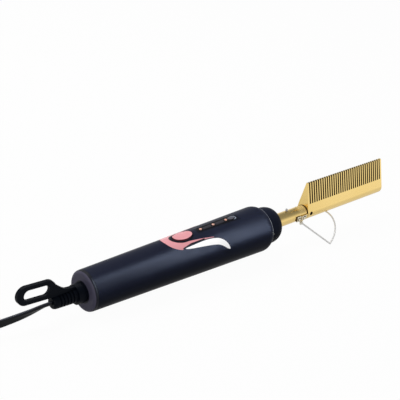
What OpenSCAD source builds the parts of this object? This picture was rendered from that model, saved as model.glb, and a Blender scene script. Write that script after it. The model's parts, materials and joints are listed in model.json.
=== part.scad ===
// Electric hot comb: tapered handle with a power button, a heated brass comb on a tube,
// a fold-out wire stand, a swivelling cord outlet with a hanging loop, and its mains cord.
// Handle sizes are along the handle's axis, X from the rear face to the comb, Z up.
// The whole comb is then tilted so that it rests on its rear rim and on the stand's feet.

/* [Handle] */
// Length from the rear face to the front shoulder
handle_len = 150.5; // [120:0.5:180]
// Diameter at the rear
rear_d = 27.6; // [24:0.1:32]
// Diameter at the front shoulder
shoulder_d = 34; // [31:0.1:38]
// Wall of the handle and of its caps
wall = 2.2; // [1.6:0.1:2.6]
// Length of the rounded front past the shoulder
front_round_len = 5.5; // [4:0.1:8]
// Diameter of the front opening
mouth_d = 27.6; // [25.6:0.1:29]

/* [Rear cap and cord outlet] */
// Thickness of the cap's rim
cap_rim = 3; // [2.4:0.1:4]
// Radius of the cap's rounded edge
cap_round = 2.4; // [1:0.1:2.4]
// Length of the cap's spigot inside the handle
cap_spigot = 7; // [5:0.5:10]
// Diameter of the turning bush
swivel_d = 13; // [11:0.1:14]
// Length that the bush stands proud of the rear face
swivel_proud = 1.4; // [0.8:0.1:3]
// Length of the strain relief behind the bush
relief_len = 21.5; // [20:0.5:30]
// Diameter of the strain relief at the bush
relief_base_d = 10.4; // [9:0.1:11]
// Diameter of the strain relief at its tip
relief_tip_d = 6.4; // [6:0.1:7]
// Number of grooves round the strain relief
relief_grooves = 5; // [3:1:5]

/* [Hanging loop] */
// Outer height of the loop
loop_h = 12.6; // [12:0.1:15]
// Outer length of the loop
loop_len = 27.4; // [26:0.1:32]
// Width of the loop's slot
slot_w = 7.2; // [6:0.1:7.6]
// Length of the loop's slot
slot_len = 18; // [14:0.1:19]
// Thickness of the loop
loop_t = 2.6; // [2:0.1:4]
// Height of the loop's front end above the handle's axis
loop_rise = 11; // [10.6:0.1:12]
// Upward slope of the loop towards the rear, in degrees
loop_slope = 3.6; // [0:0.2:5]

/* [Nose] */
// Diameter of the nose collar
collar_d = 27.4; // [25:0.1:27.6]
// Length of the collar in front of the handle
collar_len = 13; // [10:0.1:16]
// Length of the collar's cylindrical part
collar_straight = 5; // [1:0.1:6]
// Diameter of the collar's flat front face
collar_face_d = 19.5; // [16:0.1:22]

/* [Heated tube and comb] */
// Diameter of the heated tube
tube_d = 10.5; // [9:0.1:11]
// Wall of the heated tube
tube_wall = 1; // [0.8:0.1:1.2]
// Tube length between the collar's face and the comb
tube_show = 33.5; // [24:0.5:44]
// Length of the tube's neck inside the comb
neck_len = 13; // [11:0.5:18]
// Diameter of that neck
neck_d = 8.8; // [8:0.1:9]
// Length of the comb
comb_len = 88.3; // [70:0.1:100]
// Diameter of the comb's round spine
spine_d = 12; // [11.2:0.1:13]
// Height of the tooth tips above the axis
tip_z = 23.6; // [18:0.1:28]
// Height of the slot roots above the axis
root_z = 7.8; // [7:0.1:12]
// Thickness of the teeth at their tips
tip_t = 1.7; // [1.4:0.1:2.4]
// Spacing of the teeth
tooth_pitch = 2.517; // [2.2:0.001:3]
// Width of the slots between the teeth
slot_gap = 1.2; // [0.9:0.05:1.5]
// Distance from the comb's rear face to the middle of the first slot
first_slot = 2.9; // [2.2:0.1:4]
// Forward lean of the rear face at the tips
rear_lean = 1.5; // [0:0.1:2]
// Diameter of the heater rod
heater_d = 6; // [5:0.1:6.5]
// Length of the heater rod
heater_len = 60; // [45:1:62]

/* [Button and panel] */
// Distance from the front shoulder back to the middle of the power button
button_back = 69.5; // [66:0.5:72]
// Length of the power button
button_len = 15.4; // [12:0.1:18]
// Width of the power button
button_w = 9.2; // [8.6:0.1:10.4]
// Radius of the button's rounded ends
button_end_r = 3.6; // [3:0.1:4]
// Height that the button stands proud
button_proud = 0.7; // [0.3:0.1:1.5]
// Travel of the button
button_travel = 0.7; // [0.4:0.1:1]
// Gap round the button
button_gap = 0.35; // [0.2:0.05:0.6]
// Distance from the button's middle forward to the indicator window
window_ahead = 13; // [12:0.5:15]
// Length of the indicator window
window_len = 36.5; // [34:0.5:40]
// Width of the indicator window at its front end
window_w = 6.6; // [5.6:0.1:7.2]
// Width of the indicator window at its rear end
window_rear_w = 4.8; // [4:0.1:5.4]
// Depth of the window's face below the handle's surface
window_deep = 0.2; // [0.1:0.1:0.6]
// Distance from the window's rear end to the first indicator light
light_ahead = 3.4; // [2.8:0.1:4]
// Spacing of the indicator lights
light_pitch = 11.7; // [10:0.1:12.5]
// Diameter of an indicator light
light_d = 1.9; // [1.5:0.1:2.4]
// Depth of the coloured inlays
inlay_deep = 0.7; // [0.5:0.1:0.9]
// Length of the coloured inlays from end to end
inlay_len = 47.6; // [44:0.1:50]

/* [Inside] */
// Length of the circuit board
board_len = 71; // [70:0.5:72]
// Width of the circuit board
board_w = 15; // [13:0.5:15.5]
// Thickness of the circuit board
board_t = 1.6; // [1:0.1:1.8]
// Height between the board and the underside of the button
switch_h = 2.2; // [2:0.1:2.6]
// Wall of the inner frame
frame_wall = 1.6; // [1.2:0.1:2]

/* [Stand] */
// Diameter of the stand's wire
wire_d = 1.2; // [1:0.1:1.6]
// Distance from the comb's rear face back to the stand's pivot
pivot_back = 4; // [3.9:0.1:6]
// Forward reach of the feet from the pivot
foot_reach = 15.6; // [12:0.1:20]
// Drop of the feet below the handle's axis
foot_drop = 21.5; // [20.5:0.1:26]
// Half the distance between the feet
foot_half = 21.3; // [20:0.1:24]
// Thickness of the stand's bracket
bracket_t = 0.8; // [0.6:0.1:1]
// Length of the stand's bracket
bracket_len = 7; // [6:0.5:7.5]
// Half the distance between the outer faces of the bracket's ears
ear_half = 3.8; // [3.4:0.1:4.2]

/* [Cord] */
// Width of the flat cord
cord_w = 5; // [4.6:0.1:5.2]
// Thickness of the flat cord
cord_t = 2.5; // [2.3:0.1:2.6]
// Inner radius of the hank's folds
fold_r = 15; // [14:0.5:18]
// Length of the hank's straight runs
run_len = 75; // [70:1:90]
// Distance by which the tie draws the runs in
draw_in = 10; // [6:0.5:10.5]
// Width of the tie
tie_w = 6; // [4:0.5:6.5]
// Thickness of the tie
tie_t = 0.8; // [0.6:0.1:1]
// Length of the plug's body
plug_len = 26; // [22:1:32]
// Width of the plug's body
plug_w = 22; // [20:1:26]
// Height of the plug's body
plug_h = 14; // [12:1:16]
// Spacing of the plug's blades
blade_pitch = 12.7; // [11:0.1:13]
// Length of the plug's blades
blade_len = 17; // [15:0.5:18]

/* [Hidden] */
$fn = 64;
// Overlap of cuts that pass through a face
cut = 1;
// Clearances of seated, turning and free fits
seat_gap = 0.05;
run_gap = 0.06;
turn_gap = 0.3;

// Cone of the handle
rear_r = rear_d / 2;
shoulder_r = shoulder_d / 2;
mouth_r = mouth_d / 2;
taper = (shoulder_r - rear_r) / handle_len;
function outer_r(x) = rear_r + taper * x;
function inner_r(x) = outer_r(x) - wall;
seam_x = handle_len + front_round_len;
seat_x = handle_len - 1;
lip_t = 1.4;
mouth_bore_r = mouth_r - lip_t;

// Nose collar and tube
collar_r = collar_d / 2;
collar_face_r = collar_face_d / 2;
nose_x = seam_x + collar_len;
nose_lip = 1.2;
tube_r = tube_d / 2;
tube_bore_r = tube_r - tube_wall;
bush_r = tube_r + 2.2;
neck_r = neck_d / 2;
comb_x = nose_x + tube_show;
comb_end = comb_x + comb_len;
tube_x = handle_len - 26;
pin_x = comb_x - 18.5;
pin_r = 0.9;

// Straight sides that run off an arc start this far inside it
inset = 0.03;

// Comb: a round spine with flanks that run at a tangent from it to the tooth tips
spine_r = spine_d / 2;
tip_half = tip_t / 2;
flank_r = spine_r - inset;
flank_turn = atan2(tip_half, tip_z) + acos(flank_r / norm([tip_half, tip_z]));
flank_y = flank_r * sin(flank_turn);
flank_z = flank_r * cos(flank_turn);
slots = floor((comb_len - 2 * first_slot + tooth_pitch / 2) / tooth_pitch) + 1;
comb_chamfer = 1.6;
heater_r = heater_d / 2;
heater_x = comb_x - 8;
heater_end = heater_x + heater_len;
screw_x = comb_x + 3.5;
screw_r = 1.25;
screw_deep = 0.4;

// Stand: two splayed legs and a half ring that stops under the comb's spine
wire_r = wire_d / 2;
bend_r = wire_r + inset;
pivot_x = comb_x - pivot_back;
pivot_z = -(tube_r + bracket_t + wire_r + 0.25);
ear_t = 0.8;
leg_half = ear_half + bend_r + 0.1;
foot_x = pivot_x + foot_reach;
foot_z = -foot_drop;
arch_turn = asin((foot_drop - spine_r - wire_r - turn_gap) / foot_half);

// Resting attitude: a line under the rear rim's round edge and the stand's feet
rim_x = cap_round;
rim_z = -(rear_r - cap_round);
rest_run = norm([foot_x - rim_x, foot_z - rim_z]);
tilt = atan2(rim_z - foot_z, foot_x - rim_x) - asin((cap_round - bend_r) / rest_run);
lift = cap_round - rim_x * sin(tilt) - rim_z * cos(tilt);

// Swivel, strain relief and hanging loop
swivel_r = swivel_d / 2;
relief_base_r = relief_base_d / 2;
relief_tip_r = relief_tip_d / 2;
relief_x = -swivel_proud;
relief_end = relief_x - relief_len;
relief_round = 3;
sleeve_x = relief_x - 4.6;
flange_r = swivel_r + 1.6;
flange_x = cap_rim + turn_gap;
flange_t = 1.6;
flange_end = flange_x + flange_t;
tail_r = 3.2;
tail_end = flange_end + 12;
ring_r = tail_r + 0.9;
ring_t = 2;
ring_x = [flange_end + 3, flange_end + 8];
loop_r = loop_h / 2;
loop_front = [relief_end + 3 - loop_r, loop_rise];
loop_run = loop_len - loop_h;
loop_rear = loop_front + loop_run * [-cos(loop_slope), sin(loop_slope)];

// The origin lies on the floor under the middle of the object's length
back_x = loop_rear[0] * cos(tilt) - loop_rear[1] * sin(tilt) - loop_r;
front_x = comb_end * cos(tilt) + (spine_r - comb_chamfer) * sin(tilt);
shift_x = -(back_x + front_x) / 2;
module placed() {
    translate([shift_x, 0, lift]) rotate([0, -tilt, 0]) children();
}
function to_row(p) = [
    p[0] * cos(tilt) - p[2] * sin(tilt) + shift_x,
    p[1],
    p[0] * sin(tilt) + p[2] * cos(tilt) + lift
];

// Button and window
button_x = handle_len - button_back;
window_x = button_x + window_ahead;
light_x = window_x + light_ahead;
button_lip = 1.4;
flange_half = button_w / 2 + button_lip;
flange_rear = button_x - button_len / 2 - button_lip;
flange_top = sqrt(pow(inner_r(flange_rear), 2) - pow(flange_half, 2)) - turn_gap;
flange_h = 1;
window_end = window_x + window_len;
window_front_r = window_w / 2;
window_rear_r = window_rear_w / 2;
window_t = 1.4;
light_count = 3;
light_r = light_d / 2;
led_h = 1.1;
oval_len = 5.8;
oval_w = 3.4;
oval_x = window_end - 1.8 - oval_len / 2;

// Board, frame and clamp
board_end = tube_x - 1.5;
board_x = board_end - board_len;
board_half = board_w / 2;
board_z = flange_top - flange_h - switch_h;
board_bottom = board_z - board_t;
screw_rear = 5;
screw_front = 7.4;
board_screws_x = [board_x + screw_rear, board_end - screw_front];
screw_shank_r = 0.9;
screw_head_r = 1.9;
screw_head_h = 1.2;
screw_bite = 4.6;
floor_t = 1.6;
floor_z = -8.2;
floor_top = floor_z + floor_t;
frame_x = flange_end + turn_gap;
frame_end = seat_x - 2.5;
rail_x = board_x - 2;
rail_end = board_end + 1;
clamp_x = tube_x + 4;
clamp_len = 9;
clamp_t = 1.8;
clamp_y = tube_r + clamp_t + 2.4;
lead_r = 0.7;
lead_y = 1.9;
riser_x = tube_x - 4;
fuse_x = tube_x + 20;
fuse_len = 10;
fuse_r = 1.5;
brush_t = 0.5;
brush_y = ring_r + turn_gap;
wire_lead_r = 0.6;
wire_lead_y = brush_y + brush_t + wire_lead_r + 0.4;
wire_lead_z = floor_top + wire_lead_r + 0.1;
wire_turn_x = board_x + 2;
ledge_x = wire_turn_x + wire_lead_r + 0.6;

// ---------------------------------------------------------------- shared shapes

// A cylinder along X from x0 to x1
module rod(x0, x1, r) {
    translate([x0, 0, 0]) rotate([0, 90, 0]) cylinder(h = x1 - x0, r = r);
}

// A cylinder from point a to point b
module bar(a, b, r) {
    d = b - a;
    translate(a) rotate([0, acos(d[2] / norm(d)), atan2(d[1], d[0])])
        cylinder(h = norm(d), r = r);
}

// A body turned about the X axis from an outline of [x, radius] points
module turned(outline) {
    rotate([90, 0, 90]) rotate_extrude($fn = 128)
        polygon([for (p = outline) [p[1], p[0]]]);
}

// An XZ outline with a thickness along Y, and a YZ outline with a length along X
module side_plate(t) {
    rotate([90, 0, 0]) translate([0, 0, -t / 2]) linear_extrude(t) children();
}
module along_x(x0, x1) {
    translate([x0, 0, 0]) rotate([90, 0, 90]) linear_extrude(x1 - x0) children();
}

// A flat bar with round ends from point a to point b, with a thickness along Y
module round_bar(a, b, r, t) {
    side = unit([a[1] - b[1], b[0] - a[0]]) * (r - inset);
    side_plate(t) translate(a) circle(r);
    side_plate(t) translate(b) circle(r);
    side_plate(t) polygon([a + side, b + side, b - side, a - side]);
}

// Points of a quarter ellipse from [x0, r0] to [x1, r1], along X at its start
function quarter(x0, r0, x1, r1, n = 10) = [
    for (i = [0:n]) [
        x0 + (x1 - x0) * sin(90 * i / n),
        r1 + (r0 - r1) * cos(90 * i / n)
    ]
];

// A box outline with rounded corners, centred
module soft_box(w, h, r) {
    square([w - 2 * r, h], center = true);
    square([w, h - 2 * r], center = true);
    for (x = [-1, 1], y = [-1, 1]) translate([x * (w / 2 - r), y * (h / 2 - r)]) circle(r);
}

// An oval of four arcs: round ends of radius end_r and long sides that meet them smoothly
module oval(len, w, end_r) {
    a = w / 2;
    half = len / 2 - end_r;
    side_r = (half * half + a * a - end_r * end_r) / (2 * (a - end_r));
    meet_x = side_r * half / (side_r - end_r);
    for (s = [-1, 1]) translate([s * half, 0]) circle(end_r);
    intersection() {
        translate([0, a - side_r]) circle(side_r, $fn = 128);
        translate([0, side_r - a]) circle(side_r, $fn = 128);
        square([2 * meet_x, w], center = true);
    }
}

// A slot along X, upwards from the board, whose round ends have different radii
module tapered_slot(x0, r0, x1, r1) {
    c0 = x0 + r0;
    c1 = x1 - r1;
    lean = asin((r1 - r0) / (c1 - c0));
    side = [-sin(lean), cos(lean)];
    other = [side[0], -side[1]];
    translate([c0, 0, board_z]) cylinder(h = shoulder_d, r = r0);
    translate([c1, 0, board_z]) cylinder(h = shoulder_d, r = r1);
    translate([0, 0, board_z]) linear_extrude(shoulder_d) polygon([
        [c0, 0] + (r0 - inset) * side, [c1, 0] + (r1 - inset) * side,
        [c1, 0] + (r1 - inset) * other, [c0, 0] + (r0 - inset) * other
    ]);
}

// The layer of the handle's surface between two depths, from x0 to x1
module skin(x0, x1, deep, proud) {
    turned([
        [x0, outer_r(x0) - deep], [x1, outer_r(x1) - deep],
        [x1, outer_r(x1) + proud], [x0, outer_r(x0) + proud]
    ]);
}

// A smooth outline through rounded corners, and one grown outwards by a gap
function corner_cut(pts) = [
    for (i = [0:len(pts) - 1], s = [0.25, 0.75])
        pts[i] * (1 - s) + pts[(i + 1) % len(pts)] * s
];
function smooth(pts) = corner_cut(corner_cut(pts));
function unit(v) = v / norm(v);
function grown(pts, gap) = [
    for (i = [0:len(pts) - 1])
        let (
            n = len(pts),
            d = unit(pts[(i + 1) % n] - pts[(i + n - 1) % n])
        )
        pts[i] + gap * [d[1], -d[0]]
];

// ---------------------------------------------------------------- handle

module handle_shell() {
    color([0.12, 0.13, 0.18]) placed() difference() {
        turned(concat(
            [[cap_rim, inner_r(cap_rim)], [cap_rim, outer_r(cap_rim)]],
            quarter(handle_len, shoulder_r, seam_x, mouth_r),
            [
                [seam_x, mouth_bore_r],
                [seat_x, mouth_bore_r],
                [seat_x - 2, inner_r(seat_x - 2)]
            ]
        ));
        translate([button_x, 0, board_z]) linear_extrude(shoulder_d)
            oval(button_len + 2 * button_gap, button_w + 2 * button_gap,
                button_end_r + button_gap);
        tapered_slot(window_x, window_rear_r, window_end, window_front_r);
        pink_shape(seat_gap);
        for (side = [-1, 1]) white_shape(side, seat_gap);
    }
}

// Rear cap: rounded rim, spigot and a round opening for the cord's bush
module rear_cap() {
    spigot_r = inner_r(cap_rim) - seat_gap;
    hole_r = swivel_r + run_gap;
    color([0.2, 0.2, 0.25]) placed() turned(concat(
        [[0, hole_r]],
        [for (i = [0:8]) [
            cap_round * (1 - cos(90 * i / 8)),
            rear_r - cap_round * (1 - sin(90 * i / 8))
        ]],
        [
            [cap_rim, outer_r(cap_rim)],
            [cap_rim, spigot_r],
            [cap_rim + cap_spigot, spigot_r],
            [cap_rim + cap_spigot, spigot_r - wall],
            [cap_rim, spigot_r - wall],
            [cap_rim, hole_r]
        ]
    ));
}

// Nose collar: seated in the handle's mouth, with a bore for the tube's bush
module nose_collar() {
    seat_r = mouth_bore_r - seat_gap;
    color([0.1, 0.11, 0.14]) placed() turned(concat(
        [[seat_x, bush_r + seat_gap], [seat_x, seat_r], [seam_x, seat_r], [seam_x, collar_r]],
        quarter(seam_x + collar_straight, collar_r, nose_x, collar_face_r, 12),
        [
            [nose_x, tube_r + seat_gap],
            [nose_x - nose_lip, tube_r + seat_gap],
            [nose_x - nose_lip, bush_r + seat_gap]
        ]
    ));
}

// ---------------------------------------------------------------- button and panel

// Power button: the handle's own curve raised, with a lip that keeps it in its opening
module power_button() {
    color([0.95, 0.65, 0.67]) placed() {
        intersection() {
            translate([button_x, 0, flange_top - flange_h]) linear_extrude(shoulder_d)
                oval(button_len, button_w, button_end_r);
            turned([
                [flange_rear, 0],
                [flange_rear, outer_r(flange_rear) + button_proud],
                [window_x, outer_r(window_x) + button_proud],
                [window_x, 0]
            ]);
        }
        translate([button_x, 0, flange_top - flange_h]) linear_extrude(flange_h)
            oval(button_len + 2 * button_lip, 2 * flange_half, button_end_r + button_lip);
    }
}

// The push switch under the button, soldered to the board
module button_switch() {
    pressed_z = board_z + switch_h - button_travel - 0.1;
    color([0.25, 0.25, 0.27]) placed() {
        translate([button_x - 3, -3, board_z]) cube([6, 6, pressed_z - 0.4 - board_z]);
        translate([button_x, 0, board_z]) cylinder(h = pressed_z - board_z, r = 1.6);
    }
}

// Pink inlay: a horseshoe round the button's rear end whose arms run forward.
// Each point is a distance from the button's middle and an angle from the top line.
pink_outer = [[-16.2, 0], [-15.9, 9], [-15.1, 20], [-13.2, 29.4], [-10.4, 36.6], [-7.2, 41.8]];
pink_arm = [
    [-6, 37.2], [-1.9, 35.2], [2.7, 34], [7.2, 33.6], [11.6, 33.8], [15.8, 35], [20.6, 37.2]
];
pink_inner = [
    [20.9, 36.5], [16.2, 33.4], [12.2, 30.8], [6.8, 27.7], [2.8, 25.5], [-0.6, 24.3],
    [-3.8, 22.2], [-6.6, 18.1], [-8.7, 11], [-9.7, 0]
];

// White inlay on each side: a wing that widens forward and turns down to a tip
white_mid = 58;
white_tip = [31.4, 79.6];
white_edge = [
    [-5.3, 39.4], [-3.2, 39.1], [-1.1, 38.9], [1.9, 38.4], [4.9, 37.9], [8, 37.4], [11, 37],
    [14, 37.2], [17, 38.1], [19.5, 39.4], [22.9, 42], [25.3, 46], [27.45, 52.2], [29, 58.5],
    [30.2, 66], [30.9, 72], white_tip, [28.9, 75.3], [26.6, 68.1], [24.1, 61.6], [21.5, 57.6],
    [17.3, 54.4], [13.1, 52.2], [7.55, 49.4], [3.4, 47.3], [-0.6, 45.2], [-3.9, 42.6]
];
inlay_span = white_tip[0] - pink_outer[0][0];
inlay_k = inlay_len / inlay_span;

// A surface point laid flat on a plane square to the direction at angle a from the top
function inlay_x(d) = button_x + inlay_k * d;
function flat_at(p, a) = [inlay_x(p[0]), outer_r(inlay_x(p[0])) * sin(p[1] - a)];

module pink_shape(gap) {
    half = [for (p = concat(pink_outer, pink_arm, pink_inner)) flat_at(p, 0)];
    last = len(half) - 1;
    far = [for (i = [last - 1:-1:1]) [half[i][0], -half[i][1]]];
    intersection() {
        skin(inlay_x(-21), inlay_x(25), inlay_deep + gap, gap > 0 ? cut : 0.12);
        linear_extrude(shoulder_d) polygon(grown(smooth(concat(half, far)), -gap));
    }
}

module pink_inlay() {
    color([0.95, 0.65, 0.67]) placed() pink_shape(0);
}

module white_shape(side, gap) {
    edge = grown(smooth([for (p = white_edge) flat_at(p, white_mid)]), gap);
    intersection() {
        skin(inlay_x(-11), inlay_x(37), inlay_deep + gap, gap > 0 ? cut : 0.12);
        rotate([side * white_mid, 0, 0]) linear_extrude(shoulder_d)
            polygon([for (p = edge) [p[0], -side * p[1]]]);
    }
}

module white_inlays() {
    color([0.96, 0.96, 0.95]) placed() for (side = [-1, 1]) white_shape(side, 0);
}

// Dark window strip with holes for the lights and a seat for the oval lens
module indicator_window() {
    color([0.2, 0.16, 0.16]) placed() difference() {
        intersection() {
            union() tapered_slot(
                window_x + seat_gap, window_rear_r - seat_gap,
                window_end - seat_gap, window_front_r - seat_gap
            );
            skin(window_x - cut, window_end + cut, window_deep + window_t, -window_deep);
        }
        for (i = [0:light_count - 1]) translate([light_x + i * light_pitch, 0, board_z])
            cylinder(h = shoulder_d, r = light_r + seat_gap);
        translate([oval_x, 0, outer_r(oval_x) - window_deep - 0.8])
            linear_extrude(shoulder_d)
                oval(oval_len + 2 * seat_gap, oval_w + 2 * seat_gap, 1.2 + seat_gap);
    }
}

// Oval lens at the window's front end
module front_lens() {
    color([0.5, 0.5, 0.54]) placed() intersection() {
        translate([oval_x, 0, outer_r(oval_x) - window_deep - 0.8 + seat_gap])
            linear_extrude(shoulder_d) oval(oval_len, oval_w, 1.2);
        skin(oval_x - oval_len, oval_x + oval_len, 3, 0.3 - window_deep);
    }
}

// Clear rods that bring each light up to the window's face
module light_pipes() {
    color([1, 0.85, 0.82]) placed() intersection() {
        for (i = [0:light_count - 1]) translate([light_x + i * light_pitch, 0, 0])
            translate([0, 0, board_z + led_h + turn_gap]) cylinder(h = shoulder_d, r = light_r);
        turned([
            [window_x, 0], [window_x, outer_r(window_x) - window_deep + 0.4],
            [window_end, outer_r(window_end) - window_deep + 0.4], [window_end, 0]
        ]);
    }
}

module indicator_lights() {
    color([0.95, 0.9, 0.8]) placed() for (i = [0:light_count - 1])
        translate([light_x + i * light_pitch - 1, -0.8, board_z]) cube([2, 1.6, led_h]);
}

// ---------------------------------------------------------------- inside the handle

module circuit_board() {
    color([0.1, 0.35, 0.2]) placed() difference() {
        translate([board_x, -board_half, board_bottom]) cube([board_len, board_w, board_t]);
        for (x = board_screws_x) translate([x, 0, 0]) cylinder(h = shoulder_r, r = 1.1);
    }
}

module board_parts() {
    color([0.16, 0.16, 0.18]) placed() {
        translate([board_x + 9, -4, board_z]) cube([8, 6, 1.5]);
        translate([board_x + 20, -board_half + 2, board_bottom - 7]) cube([12, 8, 7]);
        translate([board_x + 13, 2.2, board_bottom - 8]) cylinder(h = 8, r = 3);
        translate([board_x + 42, -5, board_bottom - 3]) cube([7, 7, 3]);
    }
}

// Moulded frame: a floor, two rails that carry the board, its bosses, the tube's cradle
// and a plate that keeps the turning bush in the rear cap
module inner_frame() {
    rail_y = board_half + 0.1;
    rail_t = 1.4;
    color([0.55, 0.55, 0.57]) placed() difference() {
        intersection() {
            union() {
                rod(frame_x, frame_x + frame_wall, shoulder_r);
                translate([frame_x, -8, floor_z]) cube([frame_end - frame_x, 16, floor_t]);
                for (s = [-1, 1]) {
                    translate([rail_x, s > 0 ? rail_y : -rail_y - rail_t, floor_z])
                        cube([rail_end - rail_x, rail_t, board_z - floor_z]);
                    translate([ledge_x, s > 0 ? rail_y - frame_wall : -rail_y - cut, floor_z])
                        cube([rail_end - ledge_x, frame_wall + cut, board_bottom - floor_z]);
                }
                for (x = board_screws_x) translate([x, 0, floor_z])
                    cylinder(h = board_bottom - floor_z, r = 2.4);
                translate([clamp_x, -clamp_y - 2.2, floor_z])
                    cube([clamp_len, 2 * clamp_y + 4.4, -floor_z - seat_gap]);
            }
            turned([
                [frame_x, 0],
                [frame_x, inner_r(cap_rim) - wall - 2 * turn_gap],
                [cap_rim + cap_spigot + turn_gap, inner_r(cap_rim) - wall - 2 * turn_gap],
                [cap_rim + cap_spigot + turn_gap, inner_r(cap_rim) - turn_gap],
                [frame_end, inner_r(frame_end) - turn_gap],
                [frame_end, 0]
            ]);
        }
        rod(frame_x - cut, frame_x + frame_wall + cut, tail_r + turn_gap);
        rod(clamp_x - cut, clamp_x + clamp_len + cut, tube_r + seat_gap);
        for (x = board_screws_x) translate([x, 0, board_bottom - 5])
            cylinder(h = shoulder_r, r = screw_shank_r + seat_gap);
        for (s = [-1, 1]) translate([clamp_x + clamp_len / 2, s * clamp_y, -5])
            cylinder(h = shoulder_r, r = screw_shank_r + seat_gap);
    }
}

module board_screws() {
    color([0.75, 0.75, 0.77]) placed() for (x = board_screws_x) translate([x, 0, 0]) {
        translate([0, 0, board_z]) cylinder(h = screw_head_h, r = screw_head_r);
        translate([0, 0, board_bottom - screw_bite])
            cylinder(h = screw_bite + board_t, r = screw_shank_r);
    }
}

// Strap over the tube's rear end
module tube_clamp() {
    color([0.7, 0.7, 0.72]) placed() difference() {
        union() {
            rod(clamp_x, clamp_x + clamp_len, tube_r + seat_gap + clamp_t);
            translate([clamp_x, -clamp_y - 2.2, 0]) cube([clamp_len, 2 * clamp_y + 4.4, clamp_t]);
        }
        rod(clamp_x - cut, clamp_x + clamp_len + cut, tube_r + seat_gap);
        translate([clamp_x - cut, -shoulder_r, -shoulder_r])
            cube([clamp_len + 2 * cut, shoulder_d, shoulder_r]);
        for (s = [-1, 1]) translate([clamp_x + clamp_len / 2, s * clamp_y, -cut])
            cylinder(h = clamp_t + 2 * cut, r = 1.1);
    }
}

module clamp_screws() {
    color([0.75, 0.75, 0.77]) placed() for (s = [-1, 1])
        translate([clamp_x + clamp_len / 2, s * clamp_y, 0]) {
            translate([0, 0, clamp_t]) cylinder(h = screw_head_h, r = screw_head_r);
            translate([0, 0, -screw_bite])
                cylinder(h = screw_bite + clamp_t, r = screw_shank_r);
        }
}

// Leaf springs that press on the slip rings, standing on the frame's floor
module brush_springs() {
    color([0.8, 0.6, 0.35]) placed() for (i = [0, 1])
        translate([ring_x[i] + 0.2, i == 0 ? brush_y : -brush_y - brush_t, floor_top])
            cube([ring_t - 0.4, brush_t, 1.6 - floor_top]);
}

// Two insulated wires along the floor from the springs up to the board
module supply_leads() {
    color([0.7, 0.15, 0.12]) placed() for (i = [0, 1]) {
        y = (i == 0 ? 1 : -1) * wire_lead_y;
        start = [ring_x[i] + ring_t / 2, y, wire_lead_z];
        turn = [wire_turn_x, y, wire_lead_z];
        bar(start, turn, wire_lead_r);
        translate(turn) sphere(wire_lead_r);
        bar(turn, [turn[0], y, board_bottom], wire_lead_r);
    }
}

// ---------------------------------------------------------------- tube and comb

module heated_tube() {
    bore_r = heater_r + run_gap;
    color([0.86, 0.74, 0.45]) placed() difference() {
        turned([
            [tube_x, tube_bore_r], [tube_x, tube_r], [comb_x, tube_r], [comb_x, neck_r],
            [comb_x + neck_len, neck_r], [comb_x + neck_len, bore_r],
            [heater_x, bore_r], [heater_x, tube_bore_r]
        ]);
        translate([pin_x, 0, 0]) cylinder(h = shoulder_r, r = pin_r + seat_gap);
        translate([screw_x, 0, 0]) rotate([90, 0, 0]) cylinder(h = spine_d, r = screw_r + seat_gap);
    }
}

module tube_bush() {
    color([0.85, 0.83, 0.78]) placed() turned([
        [seat_x, tube_r + seat_gap], [seat_x, bush_r],
        [nose_x - nose_lip, bush_r], [nose_x - nose_lip, tube_r + seat_gap]
    ]);
}

module tube_pin() {
    color([0.6, 0.58, 0.55]) placed() translate([pin_x, 0, tube_bore_r])
        cylinder(h = tube_wall + 0.7, r = pin_r);
}

module heater_rod() {
    color([0.7, 0.7, 0.7]) placed() rod(heater_x, heater_end, heater_r);
}

// The two heater wires: down from the board, then along the tube, one through the fuse
module heater_leads() {
    color([0.9, 0.88, 0.82]) placed() for (s = [-1, 1]) {
        y = s * lead_y;
        bar([riser_x, y, board_bottom], [riser_x, y, 0], lead_r);
        translate([riser_x, y, 0]) sphere(lead_r);
        if (s < 0) {
            bar([riser_x, y, 0], [heater_x, y, 0], lead_r);
        } else {
            bar([riser_x, y, 0], [fuse_x, y, 0], lead_r);
            bar([fuse_x + fuse_len, y, 0], [heater_x, y, 0], lead_r);
        }
    }
}

module thermal_fuse() {
    color([0.8, 0.8, 0.78]) placed() translate([0, lead_y, 0])
        rod(fuse_x, fuse_x + fuse_len, fuse_r);
}

// Comb: one bar of brass with a round spine, sawn into teeth
module comb_head() {
    color([0.93, 0.8, 0.5]) placed() difference() {
        intersection() {
            union() {
                rod(comb_x, comb_end, spine_r);
                along_x(comb_x, comb_end) polygon([
                    [-flank_y, flank_z], [-tip_half, tip_z], [tip_half, tip_z],
                    [flank_y, flank_z], [0, 0]
                ]);
            }
            side_plate(2 * spine_d) polygon([
                [comb_x, -spine_d], [comb_end - comb_chamfer, -spine_d],
                [comb_end - comb_chamfer, -spine_r], [comb_end, -spine_r + comb_chamfer],
                [comb_end, tip_z + cut], [comb_x + rear_lean, tip_z + cut],
                [comb_x + rear_lean, tip_z], [comb_x, spine_r]
            ]);
        }
        for (i = [0:slots - 1])
            translate([comb_x + first_slot + i * tooth_pitch - slot_gap / 2, -spine_d, root_z])
                cube([slot_gap, 2 * spine_d, tip_z]);
        rod(comb_x - cut, comb_x + neck_len + turn_gap, neck_r + seat_gap);
        rod(comb_x, heater_end + turn_gap, heater_r + run_gap);
        translate([screw_x, 0, 0]) rotate([90, 0, 0]) cylinder(h = spine_d, r = screw_r + seat_gap);
    }
}

// Grub screw through the comb into the tube's neck
module comb_screw() {
    color([0.3, 0.28, 0.25]) placed() difference() {
        translate([screw_x, -heater_r - turn_gap, 0]) rotate([90, 0, 0])
            cylinder(h = spine_r - screw_deep - heater_r - turn_gap, r = screw_r);
        translate([screw_x - screw_r - cut, -spine_r, -0.25])
            cube([2 * screw_r + 2 * cut, screw_deep + 0.6, 0.5]);
    }
}

// ---------------------------------------------------------------- stand

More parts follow.
